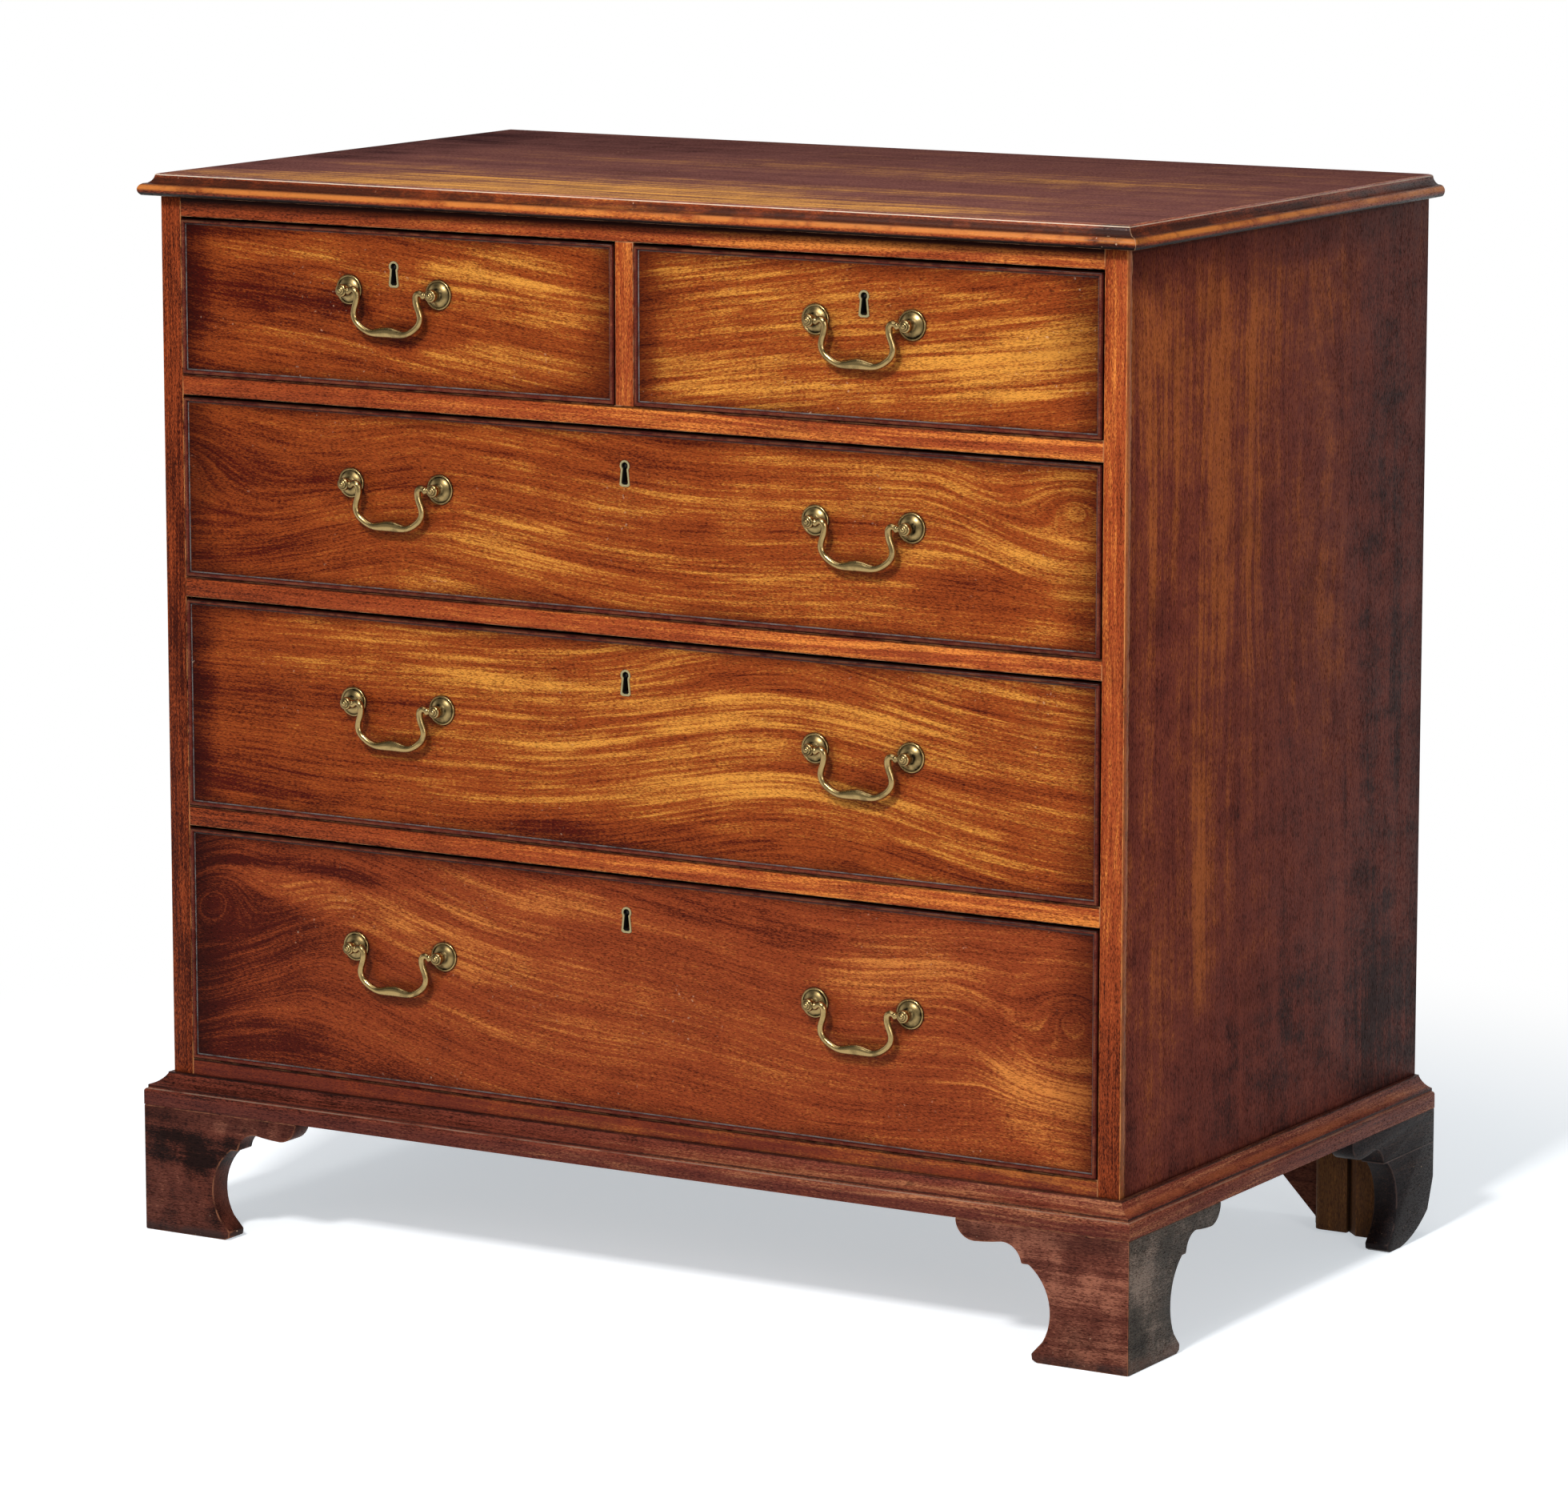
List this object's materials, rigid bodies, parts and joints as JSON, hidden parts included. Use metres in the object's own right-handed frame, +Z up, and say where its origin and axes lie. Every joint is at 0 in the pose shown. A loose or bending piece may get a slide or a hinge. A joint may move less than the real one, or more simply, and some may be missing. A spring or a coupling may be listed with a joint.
{
  "type": "chest of drawers",
  "caption": "Straight-fronted chest of drawers on shaped bracket feet, with short drawers over long ones, swan-neck bail handles and a moulded top edge.",
  "frame": {"origin": "on the floor, in the middle of the whole object's width and depth", "axes": "+Z up, +X to the right of someone facing the drawers, -Y out of the drawer fronts"},
  "size_m": [0.885, 0.5134, 0.84],
  "materials": {
    "mahogany_front": "polished, figured",
    "mahogany_case": "polished, dark",
    "mahogany_base": "worn dark polish",
    "oak": "bare, aged",
    "pine": "bare, aged",
    "brass": "old patina",
    "iron": "dull, filed"
  },
  "bodies": {
    "carcass": {"top_board": "mahogany_case", "top_moulding": "mahogany_case", "side_left": "mahogany_case", "side_right": "mahogany_case", "stiles": "mahogany_front", "rails": "mahogany_front", "muntin": "mahogany_front", "bottom_board": "pine", "back_boards": "pine", "runners": "pine", "dust_boards": "pine", "guide_and_kickers": "pine", "drawer_stops": "pine", "base_moulding": "mahogany_base", "front_feet": "mahogany_base", "rear_feet": "mahogany_base", "foot_blocks": "pine"},
    "drawer_top_left": {"drawer_top_left_front": "mahogany_front", "drawer_top_left_cockbead": "mahogany_front", "drawer_top_left_boards": "oak", "drawer_top_left_base": "oak", "drawer_top_left_posts": "brass", "drawer_top_left_lock": "brass"},
    "drawer_top_left_bolt": {"drawer_top_left_bolt": "iron"},
    "drawer_top_left_bail": {"drawer_top_left_bail": "brass"},
    "drawer_top_right": {"drawer_top_right_front": "mahogany_front", "drawer_top_right_cockbead": "mahogany_front", "drawer_top_right_boards": "oak", "drawer_top_right_base": "oak", "drawer_top_right_posts": "brass", "drawer_top_right_lock": "brass"},
    "drawer_top_right_bolt": {"drawer_top_right_bolt": "iron"},
    "drawer_top_right_bail": {"drawer_top_right_bail": "brass"},
    "drawer_second": {"drawer_second_front": "mahogany_front", "drawer_second_cockbead": "mahogany_front", "drawer_second_boards": "oak", "drawer_second_base": "oak", "drawer_second_posts": "brass", "drawer_second_lock": "brass"},
    "drawer_second_bolt": {"drawer_second_bolt": "iron"},
    "drawer_second_bail_left": {"drawer_second_bail_left": "brass"},
    "drawer_second_bail_right": {"drawer_second_bail_right": "brass"},
    "drawer_third": {"drawer_third_front": "mahogany_front", "drawer_third_cockbead": "mahogany_front", "drawer_third_boards": "oak", "drawer_third_base": "oak", "drawer_third_posts": "brass", "drawer_third_lock": "brass"},
    "drawer_third_bolt": {"drawer_third_bolt": "iron"},
    "drawer_third_bail_left": {"drawer_third_bail_left": "brass"},
    "drawer_third_bail_right": {"drawer_third_bail_right": "brass"},
    "drawer_bottom": {"drawer_bottom_front": "mahogany_front", "drawer_bottom_cockbead": "mahogany_front", "drawer_bottom_boards": "oak", "drawer_bottom_base": "oak", "drawer_bottom_posts": "brass", "drawer_bottom_lock": "brass"},
    "drawer_bottom_bolt": {"drawer_bottom_bolt": "iron"},
    "drawer_bottom_bail_left": {"drawer_bottom_bail_left": "brass"},
    "drawer_bottom_bail_right": {"drawer_bottom_bail_right": "brass"}
  },
  "joints": [
    {"name": "drawer_top_left_slide", "type": "slide", "parent": "carcass", "child": "drawer_top_left", "axis": [0, -1, 0], "range_m": [0, 0.33]},
    {"name": "drawer_top_left_bolt_throw", "type": "slide", "parent": "drawer_top_left", "child": "drawer_top_left_bolt", "axis": [0, 0, 1], "range_m": [0, 0.008]},
    {"name": "drawer_top_left_bail_swing", "type": "hinge", "parent": "drawer_top_left", "child": "drawer_top_left_bail", "pos_m": [-0.20725, -0.25025, 0.7586], "axis": [-1, 0, 0], "range_deg": [-12, 180]},
    {"name": "drawer_top_right_slide", "type": "slide", "parent": "carcass", "child": "drawer_top_right", "axis": [0, -1, 0], "range_m": [0, 0.33]},
    {"name": "drawer_top_right_bolt_throw", "type": "slide", "parent": "drawer_top_right", "child": "drawer_top_right_bolt", "axis": [0, 0, 1], "range_m": [0, 0.008]},
    {"name": "drawer_top_right_bail_swing", "type": "hinge", "parent": "drawer_top_right", "child": "drawer_top_right_bail", "pos_m": [0.20725, -0.25025, 0.7586], "axis": [-1, 0, 0], "range_deg": [-12, 180]},
    {"name": "drawer_second_slide", "type": "slide", "parent": "carcass", "child": "drawer_second", "axis": [0, -1, 0], "range_m": [0, 0.33]},
    {"name": "drawer_second_bolt_throw", "type": "slide", "parent": "drawer_second", "child": "drawer_second_bolt", "axis": [0, 0, 1], "range_m": [0, 0.008]},
    {"name": "drawer_second_bail_left_swing", "type": "hinge", "parent": "drawer_second", "child": "drawer_second_bail_left", "pos_m": [-0.20725, -0.25025, 0.6097], "axis": [-1, 0, 0], "range_deg": [-12, 180]},
    {"name": "drawer_second_bail_right_swing", "type": "hinge", "parent": "drawer_second", "child": "drawer_second_bail_right", "pos_m": [0.20725, -0.25025, 0.6097], "axis": [-1, 0, 0], "range_deg": [-12, 180]},
    {"name": "drawer_third_slide", "type": "slide", "parent": "carcass", "child": "drawer_third", "axis": [0, -1, 0], "range_m": [0, 0.33]},
    {"name": "drawer_third_bolt_throw", "type": "slide", "parent": "drawer_third", "child": "drawer_third_bolt", "axis": [0, 0, 1], "range_m": [0, 0.008]},
    {"name": "drawer_third_bail_left_swing", "type": "hinge", "parent": "drawer_third", "child": "drawer_third_bail_left", "pos_m": [-0.20725, -0.25025, 0.4392], "axis": [-1, 0, 0], "range_deg": [-12, 180]},
    {"name": "drawer_third_bail_right_swing", "type": "hinge", "parent": "drawer_third", "child": "drawer_third_bail_right", "pos_m": [0.20725, -0.25025, 0.4392], "axis": [-1, 0, 0], "range_deg": [-12, 180]},
    {"name": "drawer_bottom_slide", "type": "slide", "parent": "carcass", "child": "drawer_bottom", "axis": [0, -1, 0], "range_m": [0, 0.33]},
    {"name": "drawer_bottom_bolt_throw", "type": "slide", "parent": "drawer_bottom", "child": "drawer_bottom_bolt", "axis": [0, 0, 1], "range_m": [0, 0.008]},
    {"name": "drawer_bottom_bail_left_swing", "type": "hinge", "parent": "drawer_bottom", "child": "drawer_bottom_bail_left", "pos_m": [-0.20725, -0.25025, 0.24645], "axis": [-1, 0, 0], "range_deg": [-12, 180]},
    {"name": "drawer_bottom_bail_right_swing", "type": "hinge", "parent": "drawer_bottom", "child": "drawer_bottom_bail_right", "pos_m": [0.20725, -0.25025, 0.24645], "axis": [-1, 0, 0], "range_deg": [-12, 180]}
  ]
}
